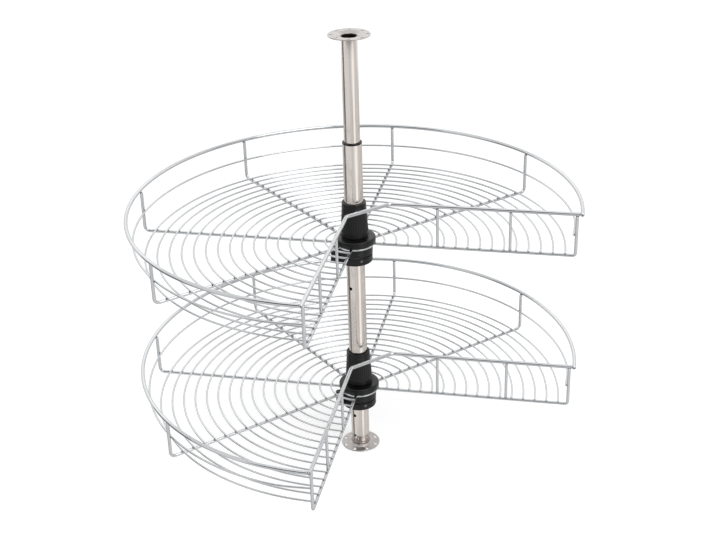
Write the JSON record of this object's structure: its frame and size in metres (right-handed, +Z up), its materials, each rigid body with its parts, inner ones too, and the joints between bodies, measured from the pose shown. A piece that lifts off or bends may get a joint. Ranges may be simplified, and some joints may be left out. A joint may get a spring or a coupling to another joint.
{
  "type": "corner carousel cabinet fitting",
  "caption": "Round wire trays with a quarter cut out turn on a telescopic post in a corner base cabinet; each tray slides on the post and is held by a set screw.",
  "frame": {"origin": "on the post's axis, in the plane of the floor flange's underside", "axes": "+Z up along the post; +X along one edge of the trays' notch and -Y along the other, so the notch is the quadrant between +X and -Y"},
  "size_m": [0.71, 0.71, 0.711],
  "materials": {
    "chrome_wire": "polished chrome plate",
    "satin_nickel": "satin nickel plate with a fine lengthwise grain",
    "black_plastic": "moulded, matt",
    "nylon": "natural nylon",
    "zinc_steel": "bright zinc plate"
  },
  "bodies": {
    "post": {"floor_flange": "satin_nickel", "main_tube": "satin_nickel", "collar_bush": "black_plastic"},
    "mast": {"top_tube": "satin_nickel", "ceiling_flange": "satin_nickel"},
    "lower_support": {"lower_support_ring": "black_plastic", "lower_set_screw": "zinc_steel", "lower_slide_washer": "nylon"},
    "lower_tray": {"lower_hub_cup": "black_plastic", "lower_hub_flange": "black_plastic", "lower_hub_sleeve": "black_plastic", "lower_hub_wire": "chrome_wire", "lower_floor_wires": "chrome_wire", "lower_spoke_045": "chrome_wire", "lower_spoke_090": "chrome_wire", "lower_spoke_135": "chrome_wire", "lower_spoke_180": "chrome_wire", "lower_spoke_225": "chrome_wire", "lower_rim_wire": "chrome_wire", "lower_wall_wire": "chrome_wire", "lower_notch_rail": "chrome_wire", "lower_inner_upright_a": "chrome_wire", "lower_inner_upright_b": "chrome_wire", "lower_middle_upright_a": "chrome_wire", "lower_middle_upright_b": "chrome_wire"},
    "upper_support": {"upper_support_ring": "black_plastic", "upper_set_screw": "zinc_steel", "upper_slide_washer": "nylon"},
    "upper_tray": {"upper_hub_cup": "black_plastic", "upper_hub_flange": "black_plastic", "upper_hub_sleeve": "black_plastic", "upper_hub_wire": "chrome_wire", "upper_floor_wires": "chrome_wire", "upper_spoke_045": "chrome_wire", "upper_spoke_090": "chrome_wire", "upper_spoke_135": "chrome_wire", "upper_spoke_180": "chrome_wire", "upper_spoke_225": "chrome_wire", "upper_rim_wire": "chrome_wire", "upper_wall_wire": "chrome_wire", "upper_notch_rail": "chrome_wire", "upper_inner_upright_a": "chrome_wire", "upper_inner_upright_b": "chrome_wire", "upper_middle_upright_a": "chrome_wire", "upper_middle_upright_b": "chrome_wire"}
  },
  "joints": [
    {"name": "mast_slide", "type": "slide", "parent": "post", "child": "mast", "axis": [0, 0, 1], "range_m": [-0.06, 0.04]},
    {"name": "lower_height", "type": "slide", "parent": "post", "child": "lower_support", "axis": [0, 0, 1], "range_m": [-0.048, 0.06]},
    {"name": "lower_spin", "type": "hinge", "parent": "lower_support", "child": "lower_tray", "pos_m": [0, 0, 0.108], "axis": [0, 0, 1], "continuous": true},
    {"name": "upper_height", "type": "slide", "parent": "post", "child": "upper_support", "axis": [0, 0, 1], "range_m": [-0.06, 0.07]},
    {"name": "upper_spin", "type": "hinge", "parent": "upper_support", "child": "upper_tray", "pos_m": [0, 0, 0.374], "axis": [0, 0, 1], "continuous": true}
  ]
}
